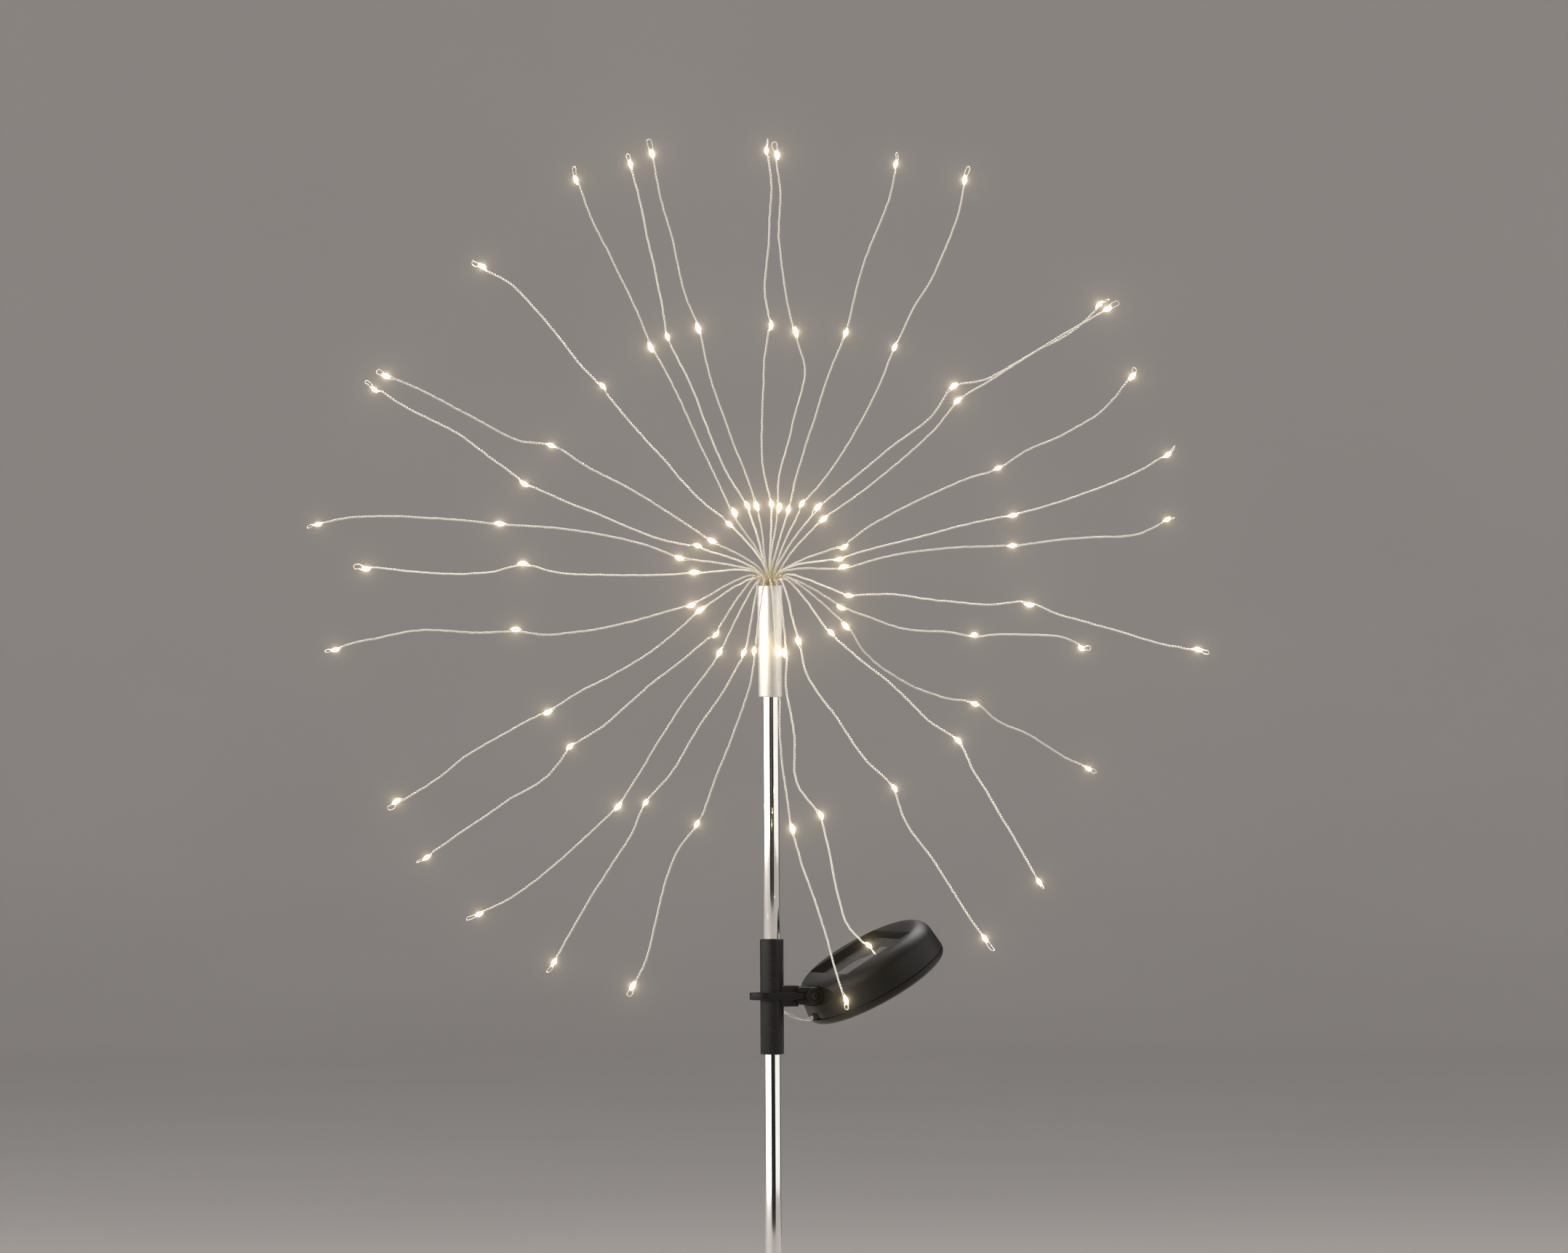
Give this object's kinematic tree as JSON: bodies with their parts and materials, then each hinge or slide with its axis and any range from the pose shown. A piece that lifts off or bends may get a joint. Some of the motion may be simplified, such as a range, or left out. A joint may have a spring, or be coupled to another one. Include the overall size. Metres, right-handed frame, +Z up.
{
  "type": "solar string light stake",
  "caption": "Garden stake light: a burst of stiff twisted LED wires in a ferrule on a steel pole, with a round tilting solar housing clipped to the pole's sleeve and a ground spike.",
  "frame": {"origin": "on the pole's axis at ground level, under the spike's flange", "axes": "+Z up along the pole; -Y towards the viewer of the front; the housing's arm points between +X and +Y"},
  "size_m": [0.4366, 0.3078, 0.7837],
  "materials": {
    "black_plastic": "fine textured satin black",
    "polished_steel": "mirror polished stainless tube",
    "satin_steel": "satin",
    "potting": "cured translucent resin",
    "lead": "clear insulation over tinned wire",
    "black_screw": "black oxide",
    "bright_steel": "zinc plated",
    "black_rubber": "matt",
    "clear_window": "clear glossy cover plate",
    "solar_cells": "dark cells with fine grid lines",
    "circuit_green": "solder mask",
    "battery_sleeve": "printed-free shrink sleeve",
    "light_wire": "silver twisted pair with clear resin LED drops"
  },
  "bodies": {
    "stake": {"ground_spike": "black_plastic", "lower_tube": "polished_steel"},
    "mast": {"pole_sleeve": "black_plastic", "upper_tube": "polished_steel", "ferrule": "satin_steel", "wire_plug": "potting", "inner_lead": "lead", "clip_band": "black_plastic", "clip_bracket": "black_plastic", "hinge_screw": "black_screw", "hinge_nut": "bright_steel", "lead_cord": "lead", "light_wire_01": "light_wire", "light_wire_02": "light_wire", "light_wire_03": "light_wire", "light_wire_04": "light_wire", "light_wire_05": "light_wire", "light_wire_06": "light_wire", "light_wire_07": "light_wire", "light_wire_08": "light_wire", "light_wire_09": "light_wire", "light_wire_10": "light_wire", "light_wire_11": "light_wire", "light_wire_12": "light_wire", "light_wire_13": "light_wire", "light_wire_14": "light_wire", "light_wire_15": "light_wire", "light_wire_16": "light_wire", "light_wire_17": "light_wire", "light_wire_18": "light_wire", "light_wire_19": "light_wire", "light_wire_20": "light_wire", "light_wire_21": "light_wire", "light_wire_22": "light_wire", "light_wire_23": "light_wire", "light_wire_24": "light_wire", "light_wire_25": "light_wire", "light_wire_26": "light_wire", "light_wire_27": "light_wire", "light_wire_28": "light_wire", "light_wire_29": "light_wire", "light_wire_30": "light_wire"},
    "panel": {"panel_top_shell": "black_plastic", "panel_base_cover": "black_plastic", "housing_seal": "black_rubber", "pv_window": "clear_window", "pv_cells": "solar_cells", "pv_board": "circuit_green", "battery_tray": "black_plastic", "battery": "battery_sleeve", "contact_neg": "bright_steel", "contact_pos": "bright_steel", "circuit_board": "circuit_green", "switch_body": "black_plastic", "lead_grommet": "black_rubber", "base_screw_1": "bright_steel", "base_screw_2": "bright_steel", "base_screw_3": "bright_steel"},
    "button": {"switch_button": "black_rubber"}
  },
  "joints": [
    {"name": "mast_turn", "type": "hinge", "parent": "stake", "child": "mast", "pos_m": [0, 0, 0.181], "axis": [0, 0, 1], "continuous": true},
    {"name": "panel_tilt", "type": "hinge", "parent": "mast", "child": "panel", "pos_m": [0.01755, 0.00727, 0.1923], "axis": [0.3827, -0.9239, 0], "range_deg": [-30, 6], "deforming": ["lead_cord"]},
    {"name": "button_press", "type": "slide", "parent": "panel", "child": "button", "axis": [-0.4689, -0.1942, 0.8616], "range_m": [0, 0.001], "stiffness_N_per_m": 300, "springref_m": -0.0005}
  ]
}
